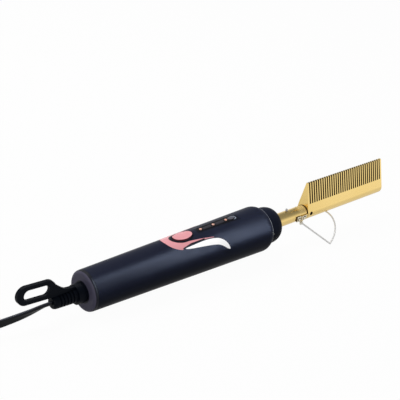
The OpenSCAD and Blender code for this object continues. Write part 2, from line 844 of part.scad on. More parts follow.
// Bracket: a saddle round the tube's lower half with two ears for the wire
module stand_bracket() {
    saddle_r = tube_r + seat_gap + bracket_t;
    x0 = pivot_x - bracket_len / 2;
    color([0.9, 0.86, 0.72]) placed() difference() {
        union() {
            rod(x0, x0 + bracket_len, saddle_r);
            for (s = [-1, 1]) translate([0, s > 0 ? ear_half - ear_t : -ear_half, 0]) {
                translate([pivot_x - 1.6, 0, pivot_z]) cube([3.2, ear_t, -pivot_z]);
                translate([pivot_x, ear_t, pivot_z]) rotate([90, 0, 0])
                    cylinder(h = ear_t, r = 1.6);
            }
        }
        rod(x0 - cut, x0 + bracket_len + cut, tube_r + seat_gap);
        translate([x0 - cut, -saddle_r - cut, 1])
            cube([bracket_len + 2 * cut, 2 * saddle_r + 2 * cut, saddle_r + cut]);
        translate([pivot_x, shoulder_r, pivot_z]) rotate([90, 0, 0])
            cylinder(h = shoulder_d, r = wire_r + run_gap);
    }
}

// Stand: one bent wire, its ends turned in through the bracket's ears
module stand_wire() {
    $fn = 16;
    color([0.75, 0.75, 0.77]) placed() {
        for (s = [-1, 1]) {
            knee = [pivot_x, s * leg_half, pivot_z];
            foot = [foot_x, s * foot_half, foot_z];
            bar([pivot_x, s * (ear_half - ear_t - 0.6), pivot_z], knee, wire_r);
            translate(knee) sphere(bend_r);
            bar(knee, foot, wire_r);
            translate(foot) sphere(bend_r);
        }
        translate([foot_x, 0, foot_z]) rotate([0, -arch_turn, 0]) rotate([0, 0, -90])
            rotate_extrude(angle = 180, $fn = 72) translate([foot_half, 0]) circle(wire_r, $fn = 16);
    }
}

// ---------------------------------------------------------------- swivel and loop

// Bush that turns in the rear cap, with a flange inside and a tail for the slip rings
module swivel_bush() {
    color([0.06, 0.07, 0.09]) placed() turned([
        [relief_x, 0], [relief_x, swivel_r - 0.5], [relief_x + 0.5, swivel_r],
        [flange_x, swivel_r], [flange_x, flange_r], [flange_end, flange_r],
        [flange_end, tail_r], [tail_end, tail_r], [tail_end, 0]
    ]);
}

module slip_rings() {
    color([0.85, 0.65, 0.4]) placed() for (x = ring_x) turned([
        [x, tail_r + seat_gap], [x, ring_r], [x + ring_t, ring_r], [x + ring_t, tail_r + seat_gap]
    ]);
}

function relief_r(x) = relief_base_r
    + (relief_tip_r + 1.2 - relief_base_r) * (relief_x - x) / relief_len;

// Strain relief: a tapered moulding with grooves round it that let it bend
module strain_relief() {
    round_x = relief_end + relief_round;
    first = sleeve_x - 2.4;
    step = (first - round_x) / relief_grooves;
    color([0.05, 0.06, 0.08]) placed() difference() {
        turned(concat(
            [[relief_x, 0], [relief_x, relief_base_r]],
            quarter(round_x, relief_r(round_x), relief_end, relief_tip_r, 6),
            [[relief_end, 0]]
        ));
        for (i = [0:relief_grooves - 1]) turned([
            [first - i * step, relief_r(first - i * step) - 0.8],
            [first - i * step, relief_base_r + cut],
            [first - i * step - 1, relief_base_r + cut],
            [first - i * step - 1, relief_r(first - i * step) - 0.8]
        ]);
    }
}

// Hanging loop: a flat ring on a sleeve that grips the relief behind the bush
module hanging_loop() {
    sleeve_r = relief_base_r + 1.6;
    neck_x = relief_end + 8;
    middle = (loop_front + loop_rear) / 2;
    half = (slot_len - slot_w) / 2 * [cos(loop_slope), -sin(loop_slope)];
    color([0.05, 0.06, 0.08]) placed() difference() {
        union() {
            turned([
                [relief_x, relief_base_r + seat_gap], [relief_x, sleeve_r],
                [sleeve_x, sleeve_r - 0.2], [sleeve_x, relief_r(sleeve_x) + seat_gap]
            ]);
            round_bar(loop_front, loop_rear, loop_r, loop_t);
            side_plate(loop_t) polygon([
                loop_front + [2, loop_r - 1.2], [neck_x, loop_rise - 2.6],
                [neck_x + 2, sleeve_r + 0.4], [sleeve_x + 1.5, sleeve_r - 0.6],
                [sleeve_x + 1.5, relief_base_r + seat_gap], [relief_end, relief_tip_r],
                [relief_end - 1.4, loop_rise - loop_r + 0.4]
            ]);
        }
        round_bar(middle + half, middle - half, slot_w / 2, loop_t + 2 * cut);
        turned([
            [relief_x - seat_gap, 0], [relief_x - seat_gap, relief_r(relief_x) + seat_gap],
            [relief_end, relief_r(relief_end) + seat_gap], [relief_end - cut, 0]
        ]);
    }
}

// ---------------------------------------------------------------- cord

// Section of the cord: [across its thickness, across its width], as many sides as asked
cord_8 = [
    [-0.3 * cord_t, cord_w / 2], [0.3 * cord_t, cord_w / 2],
    [cord_t / 2, 0.36 * cord_w], [cord_t / 2, -0.36 * cord_w],
    [0.3 * cord_t, -cord_w / 2], [-0.3 * cord_t, -cord_w / 2],
    [-cord_t / 2, -0.36 * cord_w], [-cord_t / 2, 0.36 * cord_w]
];
cord_6 = [
    [0, cord_w / 2], [cord_t / 2, 0.36 * cord_w], [cord_t / 2, -0.36 * cord_w],
    [0, -cord_w / 2], [-cord_t / 2, -0.36 * cord_w], [-cord_t / 2, 0.36 * cord_w]
];

// A tube along points, each with a roll in degrees: 0 on its edge, 90 lying flat
function heading(pts, i) = unit(pts[min(i + 1, len(pts) - 1)] - pts[max(i - 1, 0)]);
function ring_at(p, t, roll, sec) = let (
    up = unit([0, 0, 1] - t[2] * t),
    side = cross(t, up),
    wide = up * cos(roll) + side * sin(roll),
    thin = side * cos(roll) - up * sin(roll)
) [for (s = sec) p + thin * s[0] + wide * s[1]];
module swept(pts, rolls, sec) {
    n = len(pts);
    m = len(sec);
    rings = [for (i = [0:n - 1]) each ring_at(pts[i], heading(pts, i), rolls[i], sec)];
    sides = [
        for (i = [0:n - 2], k = [0:m - 1])
            let (a = i * m + k, b = i * m + (k + 1) % m) each [[a, a + m, b], [b, a + m, b + m]]
    ];
    caps = [
        for (k = [1:m - 2]) each [[0, k, k + 1], [(n - 1) * m, (n - 1) * m + k + 1, (n - 1) * m + k]]
    ];
    polyhedron(rings, concat(sides, caps), convexity = 12);
}

// The cord leaves the relief's tip, and the hank lies behind it
exit = to_row([relief_end, 0, 0]);
exit_ahead = to_row([relief_end - cord_w, 0, 0]);
edge_z = cord_w / 2 + 0.05;
lead_in = 5;
hank_x = exit[0] - 96;

// Hank: on edge in two layers, spiralling in on the first and out on the second.
// The runs are drawn in alike at the tie and climb once, where the spiral reverses.
layer_loops = 3;
loop_step = cord_t + 0.65;
layer_step = cord_w + 0.45;
run_at = [0, 0.22, 0.45, 0.55, 0.78];
fold_n = 7;
loop_n = 2 * (len(run_at) + fold_n);
climb_u = len(run_at) / loop_n;
turn_u = layer_loops + climb_u / 2;
hank_n = layer_loops * 2 * loop_n + len(run_at);
tie_rise = tie_t + 0.35;
function ease(t) = t * t * (3 - 2 * t);
function drawn(s) = s < 0.45 ? ease(s / 0.45) : s > 0.55 ? ease((1 - s) / 0.45) : 1;
function hank_off(u) = abs(u - turn_u);
function hank_rho(u) = fold_r + loop_step * hank_off(u)
    - (hank_off(u) < climb_u / 2 ? 0.8 * pow(cos(180 * hank_off(u) / climb_u), 2) : 0);
function hank_z(u) = edge_z + layer_step
    * ease(min(1, max(0, (u - layer_loops) / climb_u)));
function hank_run(u, s, side) = [
    hank_x - (side > 0 ? s : 1 - s) * run_len,
    side * (hank_rho(u) - draw_in * drawn(s)),
    hank_z(u) + tie_rise * drawn(s)
];
function hank_fold(u, a, rear) = [
    hank_x - (rear ? run_len : 0) + (rear ? -1 : 1) * hank_rho(u) * sin(a),
    (rear ? 1 : -1) * hank_rho(u) * cos(a),
    hank_z(u)
];
function hank_at(j) = let (u = j / loop_n, m = j % loop_n, r = len(run_at))
    m < r ? hank_run(u, run_at[m], 1)
    : m < r + fold_n ? hank_fold(u, 180 * (m - r) / fold_n, true)
    : m < 2 * r + fold_n ? hank_run(u, run_at[m - r - fold_n], -1)
    : hank_fold(u, 180 * (m - 2 * r - fold_n) / fold_n, false);
hank_end = hank_at(hank_n);
hank_pts = concat(
    [[hank_x + lead_in, hank_rho(0), edge_z]],
    [for (j = [0:hank_n]) hank_at(j)],
    [hank_end - [lead_in, 0, 0]]
);

// Least gap of the hank to itself: between runs and folds that pass side by side or over
// each other, with the flat section's reach taken along the line between them
function reach(d) = min(
    cord_t / 2 / max(norm([d[0], d[1]]) / norm(d), 0.001),
    cord_w / 2 / max(abs(d[2]) / norm(d), 0.001)
);
hank_gap = min([
    for (i = [0:len(hank_pts) - 1], k = [i + loop_n - 6:len(hank_pts) - 1])
        let (d = hank_pts[k] - hank_pts[i])
        if (norm(d) < 3 * cord_w) norm(d) - 2 * reach(d)
]);
function path_len(pts) = [for (i = [1:len(pts) - 1]) norm(pts[i] - pts[i - 1])]
    * [for (i = [1:len(pts) - 1]) 1];

// Free stretch: from the relief's tip down to the floor and across to the hank.
// Each point is a distance behind the tip, a shift sideways, a height and a roll.
free_run = [
    [14, 0.6, 10.8, -24], [21, 0.9, 9.9, -5], [28, 1.3, 9.2, 8], [35, 2, 8.5, 21],
    [47, 5, 7, 20], [57, 10, 5.6, 12], [67, 16, 4.2, 6], [77, 21, 3.2, 2]
];
free_pts = concat(
    [exit, exit_ahead],
    [for (p = free_run) [exit[0] - p[0], p[1], p[2]]],
    [[hank_x + 2 * lead_in, hank_rho(0) - 0.4, edge_z], [hank_x + lead_in, hank_rho(0), edge_z]]
);
free_rolls = concat([-60, -50], [for (p = free_run) p[3]], [0, 0]);

// Tail: from the hank round its rear end to the plug, turning to lie flat.
// Each point is a distance behind the hank, a shift inwards, a height and a roll.
plug_axis_z = plug_h / 2;
tail_run = [
    [9, 0.4, 8, 10], [19, 4, 7.8, 30], [29, 10.4, 7.5, 50], [39, 15.8, 7.2, 75]
];
plug_start = [hank_end[0] - 54, hank_end[1] - 18, plug_axis_z];
tail_pts = concat(
    [hank_end - [lead_in, 0, 0]],
    [for (p = tail_run) [hank_end[0] - p[0], hank_end[1] - p[1], p[2]]],
    [plug_start + [lead_in, 0, 0], plug_start]
);
tail_rolls = concat([0], [for (p = tail_run) p[3]], [90, 90]);

module mains_cord() {
    color([0.08, 0.09, 0.11]) swept(free_pts, free_rolls, cord_8);
}

module cord_hank() {
    echo(str("Least gap of the hank to itself: ", hank_gap, " mm"));
    echo(str("Length of the whole cord: ",
        path_len(free_pts) + path_len(hank_pts) + path_len(tail_pts), " mm"));
    color([0.08, 0.09, 0.11]) swept(hank_pts, [for (p = hank_pts) 0], cord_6);
}

module cord_tail() {
    color([0.08, 0.09, 0.11]) swept(tail_pts, tail_rolls, cord_8);
}

// Flat tie round the drawn-in runs
module cord_tie() {
    mid_x = hank_x - run_len / 2;
    y1 = hank_rho(0) - draw_in + cord_t / 2 + turn_gap;
    y0 = -(hank_rho(0.5) - draw_in + cord_t / 2 + turn_gap);
    z1 = hank_z(turn_u * 2) + cord_w / 2 + tie_rise + turn_gap;
    z0 = tie_t + 0.05;
    color([0.06, 0.06, 0.07]) translate([0, (y0 + y1) / 2, (z0 + z1) / 2]) difference() {
        along_x(mid_x - tie_w / 2, mid_x + tie_w / 2)
            soft_box(y1 - y0 + 2 * tie_t, z1 - z0 + 2 * tie_t, 1.4);
        along_x(mid_x - tie_w, mid_x + tie_w) soft_box(y1 - y0, z1 - z0, 0.6);
    }
}

// Moulded plug lying flat on the floor, its neck towards the cord
module plug_body() {
    neck = 9;
    back = plug_start[0] - neck;
    color([0.08, 0.09, 0.11]) translate([0, plug_start[1], plug_axis_z]) difference() {
        union() {
            along_x(back - plug_len, back) soft_box(plug_w, plug_h - 0.1, 4);
            turned([
                [back, 0], [back, plug_h / 2 - 1.4], [plug_start[0], cord_w / 2 + 0.6],
                [plug_start[0], 0]
            ]);
        }
        for (s = [-1, 1], i = [0:3])
            translate([back - 6 - 3.6 * i, s * plug_w / 2 - 0.5, -plug_h / 2 + 3])
                cube([1.4, 1, plug_h - 6]);
    }
}

module plug_blades() {
    face = plug_start[0] - 9 - plug_len;
    blade_w = 6.3;
    blade_t = 1.5;
    color([0.8, 0.8, 0.8]) translate([0, plug_start[1], plug_axis_z]) for (s = [-1, 1])
        translate([face, s * blade_pitch / 2, 0]) difference() {
            side_plate(blade_t) {
                translate([-blade_len + blade_w / 2, -blade_w / 2])
                    square([blade_len - blade_w / 2, blade_w]);
                translate([-blade_len + blade_w / 2, 0]) circle(blade_w / 2);
            }
            side_plate(2 * blade_t) translate([-blade_len + blade_w / 2 + 1.6, 0]) circle(1.6);
        }
}

handle_shell();
rear_cap();
nose_collar();
power_button();
button_switch();
pink_inlay();
white_inlays();
indicator_window();
front_lens();
light_pipes();
indicator_lights();
circuit_board();
board_parts();
inner_frame();
board_screws();
heated_tube();
tube_bush();
tube_clamp();
clamp_screws();
tube_pin();
heater_rod();
heater_leads();
thermal_fuse();
comb_head();
comb_screw();
stand_bracket();
stand_wire();
swivel_bush();
slip_rings();
brush_springs();
supply_leads();
strain_relief();
hanging_loop();
mains_cord();
cord_hank();
cord_tail();
cord_tie();
plug_body();
plug_blades();
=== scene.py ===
"""Looks of the electric hot comb: camera, flex, materials, small details, floor and light."""
import json
import math

import bpy
import numpy as np
from mathutils import Matrix, Vector


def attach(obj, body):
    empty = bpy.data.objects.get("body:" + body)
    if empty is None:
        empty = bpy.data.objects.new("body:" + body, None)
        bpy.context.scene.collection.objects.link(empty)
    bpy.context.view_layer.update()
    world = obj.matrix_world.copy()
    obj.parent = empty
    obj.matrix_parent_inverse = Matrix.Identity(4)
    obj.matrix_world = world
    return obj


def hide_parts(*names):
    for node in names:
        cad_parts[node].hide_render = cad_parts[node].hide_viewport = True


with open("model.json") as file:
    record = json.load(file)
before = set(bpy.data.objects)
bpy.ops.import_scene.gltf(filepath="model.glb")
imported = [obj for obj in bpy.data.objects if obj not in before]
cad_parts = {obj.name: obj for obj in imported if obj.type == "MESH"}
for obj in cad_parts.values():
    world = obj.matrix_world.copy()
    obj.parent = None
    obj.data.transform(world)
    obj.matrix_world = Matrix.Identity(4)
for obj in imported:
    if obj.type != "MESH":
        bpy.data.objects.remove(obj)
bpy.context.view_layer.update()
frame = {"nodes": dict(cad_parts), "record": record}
nodes = frame["nodes"]
scene = bpy.context.scene
MM = 0.001

# ------------------------------------------------------------------ resting attitude
# Positions given along the handle's axis (X from the rear face, Z up) are turned into the row
# frame here, with the tilt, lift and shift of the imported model.
TILT = math.radians(2.2529495706775298)
LIFT = 13.696840943917886
SHIFT = -121.5200518371837


def to_row(p):
    """A point along the handle's axis, in mm, as a point of the row frame, in mm."""
    x, y, z = p
    return (
        x * math.cos(TILT) - z * math.sin(TILT) + SHIFT,
        y,
        x * math.sin(TILT) + z * math.cos(TILT) + LIFT,
    )


def row_turn(v):
    """A direction along the handle's axis as a direction of the row frame."""
    x, y, z = v
    return Vector((
        x * math.cos(TILT) - z * math.sin(TILT),
        y,
        x * math.sin(TILT) + z * math.cos(TILT),
    ))


# ------------------------------------------------------------------ camera
# Fitted to the photograph: the picture's right and up directions and the camera's place in mm,
# all along the handle's axis, and the focal length in pixels of a picture PHOTO_PX wide.
CAMERA_RIGHT = (0.749696, -0.658358, 0.067235)
CAMERA_UP = (0.240240, 0.365412, 0.899310)
CAMERA_AT = (-286.295, -406.872, 305.807)
FOCAL_PX, PHOTO_PX = 920.82, 400
SENSOR_MM = 36


def placed(first, second, back, place):
    """The matrix of an object at a place in metres, from the directions of its three axes."""
    return Matrix.Translation(place) @ Matrix((first, second, back)).transposed().to_4x4()


def make_camera():
    right = row_turn(CAMERA_RIGHT).normalized()
    up = row_turn(CAMERA_UP).normalized()
    back = right.cross(up).normalized()
    up = back.cross(right).normalized()
    data = bpy.data.cameras.new("camera")
    data.sensor_width = SENSOR_MM
    data.lens = SENSOR_MM * FOCAL_PX / PHOTO_PX
    data.clip_start, data.clip_end = 0.01, 20
    cam = bpy.data.objects.new("camera", data)
    scene.collection.objects.link(cam)
    cam.matrix_world = placed(right, up, back, Vector(to_row(CAMERA_AT)) * MM)
    scene.camera = cam


make_camera()


# ------------------------------------------------------------------ mesh helpers
def add_mesh(name, verts, faces, material, body, smooth=True):
    """A new mesh piece from points in the row frame, in mm."""
    mesh = bpy.data.meshes.new(name)
    mesh.from_pydata([tuple(c * MM for c in v) for v in verts], [], faces)
    mesh.validate()
    mesh.update()
    if smooth:
        mesh.polygons.foreach_set("use_smooth", [True] * len(mesh.polygons))
    obj = bpy.data.objects.new(name, mesh)
    scene.collection.objects.link(obj)
    mesh.materials.append(material)
    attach(obj, body)
    return obj


# ------------------------------------------------------------------ the flex's route
# The same values and points as in the part's source, in mm. HANK_BEHIND is how far the hank
# lies behind the cord's exit, DRAWN_AT the share of a run over which it is drawn in, and
# CLIMB_DIP the dip of the route where it climbs to the second layer.
CORD_W, CORD_T = 5.0, 2.5
RELIEF_END = -22.9
FOLD_R, RUN_LEN, DRAW_IN, TIE_T = 15.0, 75.0, 10.0, 0.8
LAYER_LOOPS = 3
LOOP_STEP, LAYER_STEP = CORD_T + 0.65, CORD_W + 0.45
EDGE_Z, LEAD_IN = CORD_W / 2 + 0.05, 5.0
RUN_AT = (0, 0.22, 0.45, 0.55, 0.78)
FOLD_N = 7
LOOP_N = 2 * (len(RUN_AT) + FOLD_N)
CLIMB_U = len(RUN_AT) / LOOP_N
TURN_U = LAYER_LOOPS + CLIMB_U / 2
HANK_N = LAYER_LOOPS * 2 * LOOP_N + len(RUN_AT)
TIE_RISE = TIE_T + 0.35
HANK_BEHIND, DRAWN_AT, CLIMB_DIP = 96, 0.45, 0.8
PLUG_AXIS_Z, PLUG_BEHIND, PLUG_INWARDS = 7.0, 54, 18
ON_EDGE, LYING_FLAT = 0, 90

EXIT = to_row((RELIEF_END, 0, 0))
EXIT_AHEAD = to_row((RELIEF_END - CORD_W, 0, 0))
HANK_X = EXIT[0] - HANK_BEHIND


def ease(t):
    return t * t * (3 - 2 * t)


def drawn(s):
    """How far a run is drawn in by the tie: 0 at its ends, 1 about its middle."""
    return ease(min(1, s / DRAWN_AT, (1 - s) / DRAWN_AT))


def hank_rho(u):
    """The hank's half width after u loops: it spirals in, reverses and spirals out."""
    off = abs(u - TURN_U)
    dip = CLIMB_DIP * math.cos(math.pi * off / CLIMB_U) ** 2 if off < CLIMB_U / 2 else 0
    return FOLD_R + LOOP_STEP * off - dip


def hank_z(u):
    return EDGE_Z + LAYER_STEP * ease(min(1, max(0, (u - LAYER_LOOPS) / CLIMB_U)))


def hank_run(u, s, side):
    return (
        HANK_X - (s if side > 0 else 1 - s) * RUN_LEN,
        side * (hank_rho(u) - DRAW_IN * drawn(s)),
        hank_z(u) + TIE_RISE * drawn(s),
    )


def hank_fold(u, a, rear):
    a = math.radians(a)
    return (
        HANK_X - (RUN_LEN if rear else 0) + (-1 if rear else 1) * hank_rho(u) * math.sin(a),
        (1 if rear else -1) * hank_rho(u) * math.cos(a),
        hank_z(u),
    )


def hank_at(j):
    u, m, r = j / LOOP_N, j % LOOP_N, len(RUN_AT)
    if m < r:
        return hank_run(u, RUN_AT[m], 1)
    if m < r + FOLD_N:
        return hank_fold(u, 180 * (m - r) / FOLD_N, True)
    if m < 2 * r + FOLD_N:
        return hank_run(u, RUN_AT[m - r - FOLD_N], -1)
    return hank_fold(u, 180 * (m - 2 * r - FOLD_N) / FOLD_N, False)


# Each point is a distance behind the exit or the hank's end, a shift sideways, a height and a
# roll; the shift of the tail's points is inwards.
FREE_RUN = [
    (14, 0.6, 10.8, -24), (21, 0.9, 9.9, -5), (28, 1.3, 9.2, 8), (35, 2, 8.5, 21),
    (47, 5, 7, 20), (57, 10, 5.6, 12), (67, 16, 4.2, 6), (77, 21, 3.2, 2),
]
TAIL_RUN = [(9, 0.4, 8, 10), (19, 4, 7.8, 30), (29, 10.4, 7.5, 50), (39, 15.8, 7.2, 75)]


def flex_route():
    """Every point of the flex with its roll in degrees."""
    end = hank_at(HANK_N)
    plug = (end[0] - PLUG_BEHIND, end[1] - PLUG_INWARDS, PLUG_AXIS_Z)
    route = [(*EXIT, -60), (*EXIT_AHEAD, -50)]
    route += [(EXIT[0] - d, y, z, roll) for d, y, z, roll in FREE_RUN]
    route += [
        (HANK_X + 2 * LEAD_IN, hank_rho(0) - 0.4, EDGE_Z, ON_EDGE),
        (HANK_X + LEAD_IN, hank_rho(0), EDGE_Z, ON_EDGE),
    ]
    route += [(*hank_at(j), ON_EDGE) for j in range(HANK_N + 1)]
    route += [(end[0] - LEAD_IN, end[1], end[2], ON_EDGE)]
    route += [(end[0] - d, end[1] - y, z, roll) for d, y, z, roll in TAIL_RUN]
    route += [(plug[0] + LEAD_IN, plug[1], plug[2], LYING_FLAT), (*plug, LYING_FLAT)]
    return np.array(route)


def smooth_route(pts, per):
    """A smooth curve through every point, with per steps between neighbours."""
    d = np.linalg.norm(np.diff(pts[:, :3], axis=0), axis=1)[:, None]
    slope = np.diff(pts, axis=0) / d
    m = np.vstack([
        slope[:1],
        (slope[:-1] * d[1:] + slope[1:] * d[:-1]) / (d[1:] + d[:-1]),
        slope[-1:],
    ])
    out = []
    for i in range(len(pts) - 1):
        for k in range(per):
            t = k / per
            out.append(
                (2 * t**3 - 3 * t**2 + 1) * pts[i] + (t**3 - 2 * t**2 + t) * d[i] * m[i]
                + (3 * t**2 - 2 * t**3) * pts[i + 1] + (t**3 - t**2) * d[i] * m[i + 1]
            )
    out.append(pts[-1])
    return np.array(out)


def flex_section(per_lobe=9, lobe_turn=78, web_share=0.8, web_half=0.28, groove_share=0.93):
    """Two round cores side by side with a shallow groove between them: (thin, wide)."""
    lobe = (CORD_W - CORD_T) / 2
    half = []
    for i in range(per_lobe):
        a = math.radians(-lobe_turn + 2 * lobe_turn * i / (per_lobe - 1))
        half.append((CORD_T / 2 * math.sin(a), lobe + CORD_T / 2 * math.cos(a)))
    far = [(-x, -y) for x, y in half]
    web = CORD_T / 2 * web_share
    groove = [(web, web_half), (web * groove_share, 0), (web, -web_half)]
    return half + groove + far + [(-x, -y) for x, y in groove]


def swept(route, section):
    """Rings of the section along the route, each turned by the route's roll."""
    p = route[:, :3]
    t = np.vstack([p[1:2] - p[:1], p[2:] - p[:-2], p[-1:] - p[-2:-1]])
    t /= np.linalg.norm(t, axis=1)[:, None]
    up = np.array([0, 0, 1.0]) - t[:, 2:3] * t
    up /= np.linalg.norm(up, axis=1)[:, None]
    side = np.cross(t, up)
    a = np.radians(route[:, 3])[:, None]
    wide = up * np.cos(a) + side * np.sin(a)
    thin = side * np.cos(a) - up * np.sin(a)
    n, m = len(p), len(section)
    verts = np.concatenate([p + thin * s[0] + wide * s[1] for s in section], axis=1)
    verts = verts.reshape(n * m, 3)
    faces = [
        (i * m + k, (i + 1) * m + k, (i + 1) * m + (k + 1) % m, i * m + (k + 1) % m)
        for i in range(n - 1)
        for k in range(m)
    ]
    faces.append(tuple(range(m)))
    faces.append(tuple(reversed(range((n - 1) * m, n * m))))
    return verts, faces


# ------------------------------------------------------------------ node materials
# Sizes of the part's source, in mm along the handle's axis, that masks and small forms follow.
TUBE_R = 5.25
COMB_X, COMB_END, FIRST_SLOT = 202.5, 290.8, 2.9
ROOT_Z, PITCH, SAWN, SOLID_END = 7.8, 2.517, 1.2, 2.0
SCREW_X, PIN_X = COMB_X + 3.5, COMB_X - 18.5
CAP_JOINT, FRONT_EDGE = 3.5, 155.1
BUTTON_X = 81.0
WINDOW_X, WINDOW_END, WINDOW_REAR_R, WINDOW_FRONT_R = 94.0, 130.5, 2.4, 3.3
LIGHT_X, LIGHT_PITCH = 97.4, 11.7
# Ovals on top of the handle, the button's ring and the lens: centre, half length, half width.
# RING_SPAN is how far the ring is painted along the axis.
RING_OVAL = (BUTTON_X - 0.75, 10.0, 6.5)
LENS_OVAL = (125.8, 3.6, 2.3)
RING_SPAN = (BUTTON_X - 11, BUTTON_X + 8.9)
# The black gap between the pink and the white inlay, as painted on the handle and on the pink
# inlay. It starts at GAP_X. Its upper edge, in degrees from the top, lies at the first angle
# there and at the second from GAP_LEVEL_X on.
GAP_X, GAP_LEVEL_X = BUTTON_X - 6.5, BUTTON_X + 1
GAP_END, PINK_GAP_END = BUTTON_X + 14, BUTTON_X + 12.5
GAP_TOP, PINK_GAP_TOP, GAP_LOW = (36.5, 30.8), (37.0, 31.6), 39.8
# Where the hand polishes the handle, and the flat face of the rear cap, painted lighter grey as
# reflected light.
GRIP = (25, 120)
CAP_FACE_X, CAP_BORE_R = 0.9, 7.9
# Hinge tabs: the ends of each along the axis and its edges in degrees from the top. Then the
# middle of both in degrees, and the length of one degree on their outer face.
TABS = ((190.6, 194.4, 80, 122), (195.6, 200.4, 84, 118))
TAB_IN_R, TAB_OUT_R = 5.2, 6.55
TAB_TURN, TAB_MM_PER_DEGREE = 101, 0.1134
# The black of several marks: joint lines and gaps, the button's ring, and painted shade round the
# window.
BLACK_LINES_AND_SHADE = (0.0012, 0.0014, 0.0022)


def shader_of(nt):
    return next(n for n in nt.nodes if n.type == "BSDF_PRINCIPLED")


def new_material(name):
    mat = bpy.data.materials.new(name)
    mat.use_nodes = True
    return mat, mat.node_tree, shader_of(mat.node_tree)


def node(nt, kind, **values):
    """A new node, with values for its inputs by name, or else for its properties."""
    n = nt.nodes.new(kind)
    for key, value in values.items():
        if key in n.inputs:
            n.inputs[key].default_value = value
        else:
            setattr(n, key, value)
    return n


def put(nt, source, socket):
    """Link an output, or set a plain value, on a socket."""
    if isinstance(source, bpy.types.NodeSocket):
        nt.links.new(source, socket)
    else:
        socket.default_value = source


def maths(nt, operation, a, b=0.0, c=0.0):
    n = node(nt, "ShaderNodeMath", operation=operation)
    for i, value in enumerate((a, b, c)):
        if i < len(n.inputs):
            put(nt, value, n.inputs[i])
    return n.outputs[0]


def mapped(nt, turn, scale, shift=(0, 0, 0)):
    """Object coordinates, stretched, turned about Y and shifted."""
    tc = node(nt, "ShaderNodeTexCoord")
    mp = node(nt, "ShaderNodeMapping", vector_type="POINT", Location=shift,
              Rotation=(0, turn, 0), Scale=scale)
    nt.links.new(tc.outputs["Object"], mp.inputs["Vector"])
    return mp.outputs["Vector"]


def coords(nt, stretch=(1, 1, 1)):
    """Object coordinates in metres, in line with the handle's axis, stretched if asked."""
    return mapped(nt, TILT, stretch)


def split(nt, vector):
    out = node(nt, "ShaderNodeSeparateXYZ")
    nt.links.new(vector, out.inputs[0])
    return out.outputs[0], out.outputs[1], out.outputs[2]


def axis_mm(nt):
    """Distances in mm along the handle's axis, sideways and up from it."""
    return split(nt, mapped(nt, TILT, (1000, 1000, 1000), (
        -(SHIFT * math.cos(TILT) + LIFT * math.sin(TILT)),
        0,
        SHIFT * math.sin(TILT) - LIFT * math.cos(TILT),
    )))


def facing_up(nt):
    """How far the surface faces up: 1 upwards, -1 downwards."""
    return split(nt, node(nt, "ShaderNodeTexCoord").outputs["Normal"])[2]


def step(nt, value, start, end):
    """0 before start, 1 past end, smooth between them. Start may lie past end."""
    n = node(nt, "ShaderNodeMapRange", interpolation_type="SMOOTHSTEP")
    put(nt, value, n.inputs["Value"])
    n.inputs["From Min"].default_value = start
    n.inputs["From Max"].default_value = end
    return n.outputs["Result"]


def band(nt, value, start, end, soft):
    """1 between start and end, fading to 0 over soft outside them."""
    return maths(
        nt, "MULTIPLY", step(nt, value, start - soft, start), step(nt, value, end + soft, end)
    )


def both(nt, *masks):
    out = masks[0]
    for m in masks[1:]:
        out = maths(nt, "MULTIPLY", out, m)
    return out


def either(nt, *masks):
    out = masks[0]
    for m in masks[1:]:
        out = maths(nt, "MAXIMUM", out, m)
    return out


def blend(nt, fac, a, b):
    """A colour between a and b."""
    n = node(nt, "ShaderNodeMix", data_type="RGBA")
    put(nt, fac, n.inputs[0])
    for value, socket in ((a, n.inputs[6]), (b, n.inputs[7])):
        put(nt, (*value, 1) if isinstance(value, tuple) else value, socket)
    return n.outputs[2]


def mixed(nt, fac, a, b):
    """A number between a and b."""
    n = node(nt, "ShaderNodeMix", data_type="FLOAT")
    put(nt, fac, n.inputs[0])
    put(nt, a, n.inputs[2])
    put(nt, b, n.inputs[3])
    return n.outputs[0]


def noise(nt, vector, scale, detail=4.0, rough=0.55):
    n = node(nt, "ShaderNodeTexNoise", Scale=scale, Detail=detail, Roughness=rough)
    nt.links.new(vector, n.inputs["Vector"])
    return n.outputs["Fac"]


def ramp(nt, fac, stops):
    """A colour that runs through stops, each a place and a colour."""
    n = node(nt, "ShaderNodeValToRGB")
    el = n.color_ramp.elements
    while len(el) < len(stops):
        el.new(0.5)
    for e, (pos, col) in zip(el, stops):
        e.position = pos
        e.color = (*col, 1)
    nt.links.new(fac, n.inputs["Fac"])
    return n.outputs["Color"]


def spread(nt, value, lo, hi, from_lo=0.3, from_hi=0.7):
    """A value mapped in a straight line to lo..hi. The range it comes from suits a noise."""
    n = node(nt, "ShaderNodeMapRange", **{
        "From Min": from_lo, "From Max": from_hi, "To Min": lo, "To Max": hi
    })
    nt.links.new(value, n.inputs["Value"])
    return n.outputs["Result"]


def dress(nt, bsdf, tint, gloss, extra, height, strength, deep):
    """Give a shader its colour, roughness and bump; extra may change the first two."""
    if extra:
        tint, gloss = extra(nt, tint, gloss)
    nt.links.new(tint, bsdf.inputs["Base Color"])
    nt.links.new(gloss, bsdf.inputs["Roughness"])
    n = node(nt, "ShaderNodeBump", Strength=strength, Distance=deep)
    nt.links.new(height, n.inputs["Height"])
    nt.links.new(n.outputs["Normal"], bsdf.inputs["Normal"])


